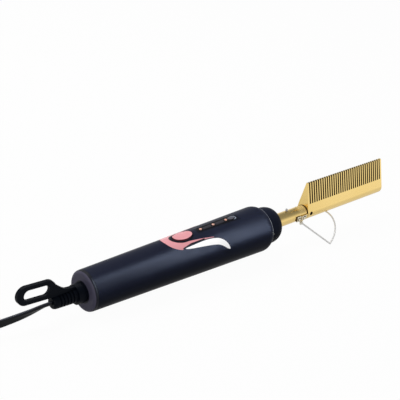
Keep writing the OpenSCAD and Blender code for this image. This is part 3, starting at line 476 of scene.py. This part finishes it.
def plastic(name, colour, shade, rough, rough_to, grain=900.0, deep=0.00001, coat=0.0,
            specular=0.5, cloud=45.0, extra=None):
    """Moulded plastic: a faint drift of colour, fine grain, and gloss that varies.

    The grain's depth is in metres. extra(nt, colour, roughness) gives both changed by marks.
    """
    mat, nt, bsdf = new_material(name)
    v = coords(nt)
    tint = ramp(nt, noise(nt, v, cloud, 3), [(0.3, colour), (0.7, shade)])
    gloss = spread(nt, noise(nt, coords(nt, (0.35, 1, 1)), 160, 5), rough, rough_to)
    dress(nt, bsdf, tint, gloss, extra, noise(nt, v, grain, 2), 0.35, deep)
    bsdf.inputs["Specular IOR Level"].default_value = specular
    bsdf.inputs["Coat Weight"].default_value = coat
    bsdf.inputs["Coat Roughness"].default_value = 0.12
    return mat


def metal(name, colour, shade, rough, rough_to, deep=0.000006, cloud=60.0, metallic=1.0,
          extra=None):
    """Metal with fine tool marks across it, a faint tarnish and uneven polish."""
    mat, nt, bsdf = new_material(name)
    bsdf.inputs["Metallic"].default_value = metallic
    tarnish = noise(nt, coords(nt), cloud, 5, 0.6)
    tint = ramp(nt, tarnish, [(0.32, colour), (0.72, shade)])
    tooled = noise(nt, coords(nt, (1, 12, 12)), 260.0, 3)
    dress(nt, bsdf, tint, spread(nt, tooled, rough, rough_to), extra, tooled, 0.4, deep)
    return mat


def from_axis(nt, y, z):
    """The length of a flat vector, such as a distance from the handle's axis."""
    return maths(nt, "SQRT", maths(nt, "ADD", maths(nt, "MULTIPLY", y, y),
                                   maths(nt, "MULTIPLY", z, z)))


def angle_from_top(nt, y, z):
    return maths(nt, "DEGREES", maths(nt, "ARCTAN2", maths(nt, "ABSOLUTE", y), z))


def oval(nt, x, y, centre, half_long, half_wide):
    """0 at the centre of an oval seen from above, 1 on its edge."""
    along = maths(nt, "DIVIDE", maths(nt, "SUBTRACT", x, centre), half_long)
    return from_axis(nt, along, maths(nt, "DIVIDE", y, half_wide))


def button_ring(nt, x, y):
    """The dark ring round the power button, an oval that the pink inlay borders."""
    return step(nt, oval(nt, x, y, *RING_OVAL), 1.03, 0.97)


def near_window(nt, x, y, wider):
    """1 over the indicator window and as far round it as asked."""
    run = maths(nt, "DIVIDE", maths(nt, "SUBTRACT", x, WINDOW_X), WINDOW_END - WINDOW_X)
    half = maths(nt, "MULTIPLY_ADD", run, WINDOW_FRONT_R - WINDOW_REAR_R, WINDOW_REAR_R)
    out = maths(nt, "SUBTRACT", maths(nt, "ABSOLUTE", y), half)
    return both(nt, step(nt, out, wider + 0.2, wider - 0.1),
                band(nt, x, WINDOW_X - wider, WINDOW_END + wider, 0.3))


def below_edge(nt, x, turn, rear_turn, level_turn):
    """Degrees past the gap's upper edge, which lies at rear_turn and rises to level_turn."""
    edge = spread(nt, x, rear_turn, level_turn, GAP_X, GAP_LEVEL_X)
    return maths(nt, "SUBTRACT", turn, edge)


def painted_light_and_shade(nt, turn, tint):
    """A dark colour with painted light on top and painted shade, close to black, underneath."""
    paler = spread(nt, turn, 0.45, 0.0, from_lo=15, from_hi=60)
    darker = spread(nt, turn, 0.0, 0.9, from_lo=70, from_hi=104)
    # Painted light on top, then painted shade underneath
    tint = blend(nt, paler, tint, (0.0195, 0.0225, 0.0400))
    return blend(nt, darker, tint, (0.0020, 0.0028, 0.0060))


def collar_marks(nt, tint, gloss):
    """The handle's painted light on top and painted shade underneath, without its lines."""
    _, y, z = axis_mm(nt)
    return painted_light_and_shade(nt, angle_from_top(nt, y, z), tint), gloss


def handle_marks(nt, tint, gloss):
    """Joint line, black round button and inlays, polish; painted window shade, front edge
    highlight, top light and shade.
    """
    x, y, z = axis_mm(nt)
    top, turn = step(nt, z, 0, 2), angle_from_top(nt, y, z)
    ring = both(nt, button_ring(nt, x, y), band(nt, x, *RING_SPAN, 0.4), top)
    # Painted shade: black round the raised window strip
    painted_window_shade = both(nt, near_window(nt, x, y, 0.9), top)
    gap = both(nt, band(nt, x, GAP_X, GAP_END, 0.5),
               step(nt, below_edge(nt, x, turn, *GAP_TOP), -0.6, 0.3),
               step(nt, turn, GAP_LOW + 0.8, GAP_LOW))
    dark = either(nt, step(nt, x, CAP_JOINT, CAP_JOINT - 0.35), ring, painted_window_shade, gap)
    tint = blend(nt, dark, tint, BLACK_LINES_AND_SHADE)
    # Painted highlight: a pale line on the shell's front edge; then painted light on top and
    # painted shade underneath
    edge = band(nt, x, FRONT_EDGE - 0.5, FRONT_EDGE, 0.15)
    tint = painted_light_and_shade(nt, turn, blend(nt, edge, tint, (0.50, 0.57, 0.70)))
    polish = maths(nt, "MULTIPLY", band(nt, x, *GRIP, 25), 0.03)
    return tint, maths(nt, "SUBTRACT", gloss, polish)


def pink_marks(nt, tint, gloss):
    """Black where the inlay borders the button's ring and the gap to the white inlay."""
    x, y, z = axis_mm(nt)
    below = below_edge(nt, x, angle_from_top(nt, y, z), *PINK_GAP_TOP)
    gap = both(nt, step(nt, below, -0.5, 0.5), band(nt, x, GAP_X, PINK_GAP_END, 0.6))
    return blend(nt, either(nt, button_ring(nt, x, y), gap), tint, BLACK_LINES_AND_SHADE), gloss


def button_marks(nt, tint, gloss):
    """The button's sides, down in its opening, are painted darker as shade."""
    # Painted shade where the surface faces sideways
    painted_side_shade = step(nt, facing_up(nt), 0.55, 0.25)
    return blend(nt, painted_side_shade, tint, (0.16, 0.035, 0.04)), gloss


def flex_marks(nt, tint, gloss):
    """The cores' upper sides are painted paler as a highlight from above, which leaves the groove
    between them dark.
    """
    patchy = spread(nt, noise(nt, coords(nt), 70, 3), 0.55, 1.0)
    # Painted highlight on the sides that face up
    painted_top_highlight = both(nt, step(nt, facing_up(nt), 0.55, 0.9), patchy)
    return blend(nt, painted_top_highlight, tint, (0.060, 0.063, 0.082)), gloss


def cap_marks(nt, tint, gloss):
    """The cap's flat end is painted a lighter grey as reflected light; its rounded rim and its
    bore's edge are dark.
    """
    x, y, z = axis_mm(nt)
    face = both(nt, step(nt, x, CAP_FACE_X + 0.6, CAP_FACE_X),
                step(nt, from_axis(nt, y, z), CAP_BORE_R - 0.6, CAP_BORE_R))
    # Painted reflection: only the flat end keeps the lighter grey, the rest is dark
    return blend(nt, face, (0.0026, 0.0034, 0.0078), tint), mixed(nt, face, 0.42, gloss)


def window_marks(nt, tint, gloss):
    """Smoked strip: black margin and lens, a painted highlight on the lens's rim, and paler bars
    between the lights.
    """
    x, y, _ = axis_mm(nt)
    clear = 2.2
    bars = either(nt, *(
        band(nt, x, light + clear, light + LIGHT_PITCH - clear, 0.3)
        for light in (LIGHT_X, LIGHT_X + LIGHT_PITCH)
    ))
    bars = both(nt, bars, step(nt, maths(nt, "ABSOLUTE", y), 1.3, 1.0))
    tint = blend(nt, bars, tint, (0.036, 0.033, 0.042))
    seat = oval(nt, x, y, *LENS_OVAL)
    # Painted highlight on the front of the lens's rim
    painted_rim_highlight = both(nt, band(nt, seat, 1.0, 1.22, 0.08), step(nt, x, 126, 127.5))
    tint = blend(nt, painted_rim_highlight, tint, (0.26, 0.30, 0.38))
    inside = near_window(nt, x, y, -0.8)
    margin = either(nt, step(nt, seat, 1.0, 0.92), maths(nt, "SUBTRACT", 1.0, inside))
    return blend(nt, margin, tint, (0.0016, 0.0016, 0.0022)), gloss


def brass_marks(nt, tint, gloss):
    """Heat tint near the tube, painted shade in the slots, a dark line at the tube's end, painted
    shadow round the screw.
    """
    x, y, z = axis_mm(nt)
    place = maths(nt, "DIVIDE", maths(nt, "SUBTRACT", x, COMB_X + FIRST_SLOT), PITCH)
    off = maths(nt, "ABSOLUTE", maths(nt, "SUBTRACT", place, maths(nt, "ROUND", place)))
    first, last = COMB_X + SOLID_END, COMB_END - SOLID_END
    teeth = both(nt, step(nt, x, first - 0.1, first + 0.1), step(nt, x, last + 0.1, last - 0.1),
                 step(nt, z, ROOT_Z - 0.25, ROOT_Z))
    slot_shade = both(nt, teeth, step(nt, off, (SAWN / 2 + 0.2) / PITCH, (SAWN / 2 + 0.06) / PITCH))
    heat = both(nt, step(nt, x, COMB_X + 30, COMB_X - 12), step(nt, x, 165, 172),
                spread(nt, noise(nt, coords(nt), 25, 1), 0.1, 0.35))
    tint = blend(nt, heat, tint, (0.74, 0.52, 0.19))
    # Painted shade in the slots between the teeth, near black
    painted_slot_shade = both(nt, slot_shade, spread(nt, noise(nt, coords(nt), 90, 4), 0.88, 1.0))
    tint = blend(nt, painted_slot_shade, tint, (0.016, 0.010, 0.004))
    meet = both(nt, band(nt, x, COMB_X - 0.6, COMB_X + 0.25, 0.35),
                step(nt, from_axis(nt, y, z), TUBE_R + 0.45, TUBE_R + 0.1))
    # Painted shadow round the screw
    painted_screw_shadow = both(nt, step(nt, y, -2.5, -3),
                step(nt, from_axis(nt, maths(nt, "SUBTRACT", x, SCREW_X), z), 1.7, 1.35))
    # A dark joint line where the tube meets the comb, and the painted shadow round the screw
    tint = blend(nt, either(nt, meet, painted_screw_shadow), tint, (0.03, 0.018, 0.006))
    return tint, mixed(nt, slot_shade, gloss, 0.55)


def tube_marks(nt, tint, gloss):
    """Brass that is dull on top of the tube's end, where it would mirror the comb."""
    x, _, z = axis_mm(nt)
    dull = both(nt, step(nt, x, COMB_X - 10, COMB_X - 5), step(nt, z, 1, 4.5))
    put(nt, mixed(nt, dull, 1.0, 0.3), shader_of(nt).inputs["Metallic"])
    tint = blend(nt, dull, tint, (0.66, 0.50, 0.20))
    return brass_marks(nt, tint, mixed(nt, dull, gloss, 0.65))


def bracket_marks(nt, tint, gloss):
    """The saddle is the tube's brass; the ears are bright with dark specks."""
    _, _, z = axis_mm(nt)
    ears = step(nt, z, -4.9, -5.4)
    speck = noise(nt, coords(nt), 900, 3)
    ear_tint = ramp(nt, speck, [(0.40, (0.10, 0.07, 0.03)), (0.52, (1.0, 0.96, 0.84))])
    return blend(nt, ears, tint, ear_tint), mixed(nt, ears, gloss, 0.25)


def tab_marks(nt, tint, gloss):
    """Darker close to the tube and round each rivet."""
    x, y, z = axis_mm(nt)
    r = from_axis(nt, y, z)
    along = maths(nt, "MINIMUM", *(
        maths(nt, "ABSOLUTE", maths(nt, "SUBTRACT", x, (x0 + x1) / 2)) for x0, x1, _, _ in TABS
    ))
    turn = maths(nt, "SUBTRACT", angle_from_top(nt, y, z), TAB_TURN)
    across = maths(nt, "MULTIPLY", turn, TAB_MM_PER_DEGREE)
    round_rivet = both(nt, band(nt, from_axis(nt, along, across), 1.2, 1.6, 0.1),
                       step(nt, r, TAB_OUT_R + 0.35, TAB_OUT_R + 0.2))
    darker_at_joins = either(nt, step(nt, r, 6.38, 6.2), round_rivet)
    return blend(nt, darker_at_joins, tint, (0.10, 0.07, 0.035)), mixed(nt, darker_at_joins, gloss, 0.6)


def pink(name, extra):
    return plastic(name, (0.86, 0.365, 0.40), (0.89, 0.395, 0.43), 0.2, 0.28, 700, 0.000006,
                   coat=0.1, specular=0.2, extra=extra)


def brass(name, extra):
    return metal(name, (1.0, 0.745, 0.30), (0.97, 0.71, 0.265), 0.20, 0.24, deep=0.0000006,
                 cloud=22.0, extra=extra)


MATS = {
    "handle": plastic("satin_blue_black", (0.0080, 0.0102, 0.0235), (0.0105, 0.0130, 0.0285),
                      0.32, 0.40, 1400, 0.000010, specular=0.022, extra=handle_marks),
    "cap": plastic("cap_painted_face_reflection", (0.058, 0.055, 0.088), (0.068, 0.064, 0.099), 0.42, 0.5,
                   1200, 0.00002, specular=0.12, extra=cap_marks),
    "collar": plastic("collar_black", (0.0090, 0.0118, 0.0225), (0.0110, 0.0140, 0.0260), 0.34,
                      0.42, 1400, 0.000012, specular=0.02, extra=collar_marks),
    "pink": pink("gloss_pink", pink_marks),
    "button": pink("gloss_pink_button", button_marks),
    "white": plastic("gloss_white", (0.93, 0.93, 0.93), (0.96, 0.955, 0.95), 0.18, 0.26, 700,
                     0.000006, coat=0.1, specular=0.2),
    "window": plastic("smoked_window", (0.0075, 0.0072, 0.0100), (0.0110, 0.0100, 0.0135),
                      0.16, 0.24, 700, 0.000004, specular=0.10, extra=window_marks),
    "lens": plastic("grey_lens", (0.070, 0.068, 0.090), (0.095, 0.092, 0.120), 0.12, 0.18, 700,
                    0.000004, coat=0.5),
    "lights": plastic("lit_amber", (0.92, 0.42, 0.30), (0.98, 0.62, 0.50), 0.14, 0.2, 700,
                      0.000004, coat=0.4),
    "board": plastic("green_laminate", (0.016, 0.10, 0.045), (0.022, 0.13, 0.06), 0.35, 0.45),
    "dark_parts": plastic("moulded_black", (0.02, 0.02, 0.023), (0.027, 0.027, 0.03), 0.4, 0.5),
    "frame": plastic("natural_grey", (0.23, 0.23, 0.25), (0.27, 0.27, 0.29), 0.45, 0.55),
    "bush": plastic("heat_resisting", (0.58, 0.55, 0.47), (0.64, 0.61, 0.53), 0.5, 0.6),
    "leads": plastic("insulated_wire", (0.46, 0.10, 0.07), (0.52, 0.13, 0.09), 0.35, 0.45),
    "cord_black": plastic("black_moulding", (0.0015, 0.0027, 0.0056), (0.0028, 0.0042, 0.0080),
                          0.36, 0.48, 1000, 0.00002, specular=0.06),
    "cord": plastic("black_flex", (0.0030, 0.0036, 0.0055), (0.0046, 0.0052, 0.0075), 0.26,
                    0.34, 1100, 0.00002, specular=0.2, extra=flex_marks),
    "brass": brass("polished_brass", brass_marks),
    "tube": brass("polished_brass_tube", tube_marks),
    "screws": metal("zinc_plated", (0.62, 0.61, 0.60), (0.54, 0.53, 0.52), 0.25, 0.4),
    "heater": metal("plain_steel", (0.55, 0.54, 0.53), (0.48, 0.47, 0.46), 0.3, 0.45),
    # Near black: dark steel, painted darker as the shade in the screw's recess
    "dark_steel": metal("dark_steel_painted_recess_shade", (0.012, 0.007, 0.006), (0.008, 0.005, 0.004), 0.5,
                        0.5),
    "bracket": metal("brass_and_steel", (0.86, 0.62, 0.22), (0.78, 0.54, 0.17), 0.22, 0.32,
                     deep=0.0000006, extra=bracket_marks),
    "tabs": metal("bright_tabs", (1.0, 0.95, 0.78), (0.90, 0.78, 0.52), 0.2, 0.3,
                  deep=0.000001, cloud=420.0, metallic=0.55, extra=tab_marks),
    "pin": metal("grey_pin", (0.52, 0.51, 0.50), (0.42, 0.41, 0.40), 0.3, 0.4, deep=0.000001),
    # The steel wire is painted near white with little metal, as a painted reflection of the white
    # surroundings
    "wire": metal("wire_painted_white_reflection", (1.0, 1.0, 0.99), (0.96, 0.955, 0.94), 0.14, 0.22,
                  deep=0.0000002, metallic=0.1),
    "contacts": metal("copper_alloy", (0.78, 0.50, 0.27), (0.70, 0.42, 0.22), 0.25, 0.4),
    "blades": metal("nickelled_brass", (0.74, 0.70, 0.58), (0.66, 0.61, 0.49), 0.2, 0.32),
}

# Two nodes have a look of their own within their slot.
OWN_LOOK = {"power_button": "button", "heated_tube": "tube"}
SLOT_OF = {s["node"]: s["material_slot"] for s in frame["record"]["subparts"]}
for name, obj in nodes.items():
    mat = MATS[OWN_LOOK.get(name, SLOT_OF[name])]
    if not obj.data.materials:
        obj.data.materials.append(mat)
    for i in range(len(obj.data.materials)):
        obj.data.materials[i] = mat


# ------------------------------------------------------------------ flex
def make_flex():
    route = smooth_route(flex_route(), 4)
    verts, faces = swept(route, flex_section())
    flex = add_mesh("flex", verts, faces, MATS["cord"], "cord_end")
    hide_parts("mains_cord", "cord_hank", "cord_tail")


make_flex()


# ------------------------------------------------------------------ small forms
PIN_PROFILE = [(0.62, 4.3), (0.62, 5.5), (0.85, 5.6), (0.88, 5.8), (0.88, 6.7), (0.78, 7.15),
               (0.55, 7.5), (0.28, 7.66), (0.05, 7.7)]
RIVET_FOOT_R = 5.6
RIVET_PROFILE = [(1.15, 0), (1.15, 1.0), (1.05, 1.3), (0.75, 1.5), (0.35, 1.6), (0.05, 1.62)]


def turned(profile, base, axis, n=24):
    """A turned form from (radius, height) pairs along an axis from its base, both ends shut."""
    axis = Vector(axis).normalized()
    side = axis.orthogonal().normalized()
    other = axis.cross(side)
    verts = []
    for r, h in profile:
        for k in range(n):
            a = 2 * math.pi * k / n
            out = side * math.cos(a) + other * math.sin(a)
            verts.append(to_row(Vector(base) + axis * h + out * r))
    last = (len(profile) - 1) * n
    faces = [
        (i + k, i + (k + 1) % n, i + n + (k + 1) % n, i + n + k)
        for i in range(0, last, n)
        for k in range(n)
    ]
    return verts, faces + [tuple(range(n))[::-1], tuple(range(last, last + n))]


def around_tube(x0, x1, a0, a1, r_in, r_out, lip=0.15, n=14):
    """A curved plate on the tube, its outer edges eased; angles are from the top, in degrees."""
    xs = [x0, x0, x0 + lip, x1 - lip, x1, x1]
    rs = [r_in, r_out - lip, r_out, r_out, r_out - lip, r_in]
    turns = [a0, a0] + [a0 + (a1 - a0) * i / n for i in range(1, n)] + [a1, a1]
    verts = []
    for j, a in enumerate(turns):
        end = j in (0, len(turns) - 1)
        for x, r in zip(xs, rs):
            r = r_in if end else r
            verts.append(to_row((x, r * math.sin(math.radians(a)), r * math.cos(math.radians(a)))))
    m = len(xs)
    faces = [
        (j * m + k, j * m + (k + 1) % m, (j + 1) * m + (k + 1) % m, (j + 1) * m + k)
        for j in range(len(turns) - 1)
        for k in range(m)
    ]
    faces += [tuple(range(m))[::-1], tuple(range((len(turns) - 1) * m, len(turns) * m))]
    return verts, faces


def joined(parts):
    """Several forms' vertices and faces as one mesh's."""
    verts, faces = [], []
    for v, f in parts:
        faces += [tuple(i + len(verts) for i in face) for face in f]
        verts += v
    return verts, faces


def make_pin():
    """A domed pin on top of the tube; its profile's heights are from the handle's axis."""
    verts, faces = turned(PIN_PROFILE, (PIN_X, 0, 0), (0, 0, 1))
    pin = add_mesh("tube_pin_domed", verts, faces, MATS["pin"], "handle")
    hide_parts("tube_pin")


def make_hinge():
    """Two tabs on each side of the saddle, each riveted to the tube."""
    parts = []
    for s in (-1, 1):
        mid = math.radians(s * TAB_TURN)
        out = (0, math.sin(mid), math.cos(mid))
        for x0, x1, a0, a1 in TABS:
            parts.append(around_tube(x0, x1, s * a0, s * a1, TAB_IN_R, TAB_OUT_R))
            base = ((x0 + x1) / 2, RIVET_FOOT_R * out[1], RIVET_FOOT_R * out[2])
            parts.append(turned(RIVET_PROFILE, base, out))
    verts, faces = joined(parts)
    tabs = add_mesh("hinge_tabs", verts, faces, MATS["tabs"], "handle", smooth=False)


make_pin()
make_hinge()


# ------------------------------------------------------------------ floor, backdrop and light
# Half the floor's side, in metres.
FLOOR_HALF = 4.0
# The strip lamp: its place, where it aims and the direction of its length, along the axis.
STRIP_AT, STRIP_AIM, STRIP_ALONG = (318, -238, 221), (80, -10, 8), (164, -224, -342)


def rays(nt):
    """Masks for rays that see a surface directly or through glass, and for gloss."""
    lp = node(nt, "ShaderNodeLightPath")
    seen = maths(nt, "MAXIMUM", lp.outputs["Is Camera Ray"], lp.outputs["Is Transmission Ray"])
    return seen, lp.outputs["Is Glossy Ray"]


def mix_shaders(nt, fac, a, b):
    n = node(nt, "ShaderNodeMixShader")
    for source, socket in zip((fac, a.outputs[0], b.outputs[0]), n.inputs):
        nt.links.new(source, socket)
    return n


def make_floor():
    """White where it is seen; in gloss its glow is painted darker close to the object, as shade.
    """
    mat, nt, _ = new_material("floor")
    nt.nodes.clear()
    out = node(nt, "ShaderNodeOutputMaterial")
    diffuse = node(nt, "ShaderNodeBsdfDiffuse", Color=(0.30, 0.30, 0.30, 1))
    glow = node(nt, "ShaderNodeEmission", Color=(1, 1, 1, 1))
    seen, in_gloss = rays(nt)
    aside = maths(nt, "ABSOLUTE", split(nt, mapped(nt, 0, (1, 1, 1)))[1])
    # Painted shade: the glow seen in gloss is dimmer close to the object
    gloss_glow_painted_shade = mixed(nt, step(nt, aside, 0.01, 0.17), 0.72, 0.94)
    nt.links.new(mixed(nt, seen, gloss_glow_painted_shade, 1.05), glow.inputs["Strength"])
    # Not wholly glow to the camera, so that the object's shadow stays
    fac = maths(nt, "MAXIMUM", maths(nt, "MULTIPLY", seen, 0.92), in_gloss)
    nt.links.new(mix_shaders(nt, fac, diffuse, glow).outputs[0], out.inputs["Surface"])
    mesh = bpy.data.meshes.new("floor")
    s = FLOOR_HALF
    mesh.from_pydata([(-s, -s, 0), (s, -s, 0), (s, s, 0), (-s, s, 0)], [], [(0, 1, 2, 3)])
    mesh.materials.append(mat)
    floor = bpy.data.objects.new("floor", mesh)
    scene.collection.objects.link(floor)


def make_world():
    """White behind the object; in gloss, white at the horizon and darker overhead."""
    world = bpy.data.worlds.new("world")
    scene.world = world
    world.use_nodes = True
    nt = world.node_tree
    nt.nodes.clear()
    out = node(nt, "ShaderNodeOutputWorld")
    ambient = node(nt, "ShaderNodeBackground", Color=(1, 1, 1, 1), Strength=0.42)
    white = node(nt, "ShaderNodeBackground", Color=(1, 1, 1, 1), Strength=1.0)
    studio = node(nt, "ShaderNodeBackground", Strength=1.0)
    up = split(nt, node(nt, "ShaderNodeTexCoord").outputs["Generated"])[2]
    sky = ramp(nt, up, [
        (0.0, (0.92, 0.92, 0.92)), (0.18, (0.80, 0.80, 0.81)), (0.5, (0.34, 0.35, 0.37)),
        (1.0, (0.20, 0.21, 0.23)),
    ])
    nt.links.new(sky, studio.inputs["Color"])
    seen, in_gloss = rays(nt)
    around = mix_shaders(nt, in_gloss, ambient, studio)
    nt.links.new(mix_shaders(nt, seen, around, white).outputs[0], out.inputs["Surface"])


def area_light(name, place, aim, size, watts, colour=(1, 1, 1), side=None):
    """A rectangular lamp, in metres; side, if given, is the direction of its first size."""
    data = bpy.data.lights.new(name, "AREA")
    data.shape = "RECTANGLE"
    data.size, data.size_y = size
    data.energy = watts
    data.color = colour
    light = bpy.data.objects.new(name, data)
    scene.collection.objects.link(light)
    back = (Vector(place) - Vector(aim)).normalized()
    first = Vector(side) if side else Vector((0, 0, 1)).cross(back)
    second = back.cross(first).normalized()
    light.matrix_world = placed(second.cross(back).normalized(), second, back, Vector(place))
    return light


def light_only(light, lit):
    """Hide a lamp from the camera and let it reach only the pieces in a collection."""
    light.visible_camera = False
    light.light_linking.receiver_collection = lit


def lit_pieces(name, *pieces):
    lit = bpy.data.collections.new(name)
    for piece in pieces:
        lit.objects.link(nodes[piece])
    return lit


make_floor()
make_world()
CENTRE = (0, 0, 0)
area_light("key", (-0.15, 0.55, 1.0), CENTRE, (1.0, 0.6), 7.6)
area_light("fill", (-0.9, -0.9, 0.7), CENTRE, (0.8, 0.8), 4.6)
# A narrow lamp in front gives the soft band along the handle's near side, partly as a
# reflection and partly, to spare views from behind the glare, as matt light
strip_lit = lit_pieces("strip_lit", "handle_shell", "rear_cap")
for name, watts, colour, matt in (
    ("strip", 11.5, (0.70, 0.82, 1.0), False), ("strip_matt", 3.0, (1.0, 0.90, 0.60), True),
):
    strip = area_light(
        name, Vector(to_row(STRIP_AT)) * MM, Vector(to_row(STRIP_AIM)) * MM, (0.46, 0.15),
        watts, colour, row_turn(STRIP_ALONG),
    )
    strip.visible_diffuse = matt
    strip.visible_glossy = not matt
    light_only(strip, strip_lit)
# The white inlay is burnt out in the photograph, so it has a lamp of its own
inlay = area_light("inlay", (-0.6, -0.9, 0.9), CENTRE, (0.5, 0.5), 8.0)
light_only(inlay, lit_pieces("inlay_lit", "white_inlays"))

scene.view_settings.view_transform = "Standard"
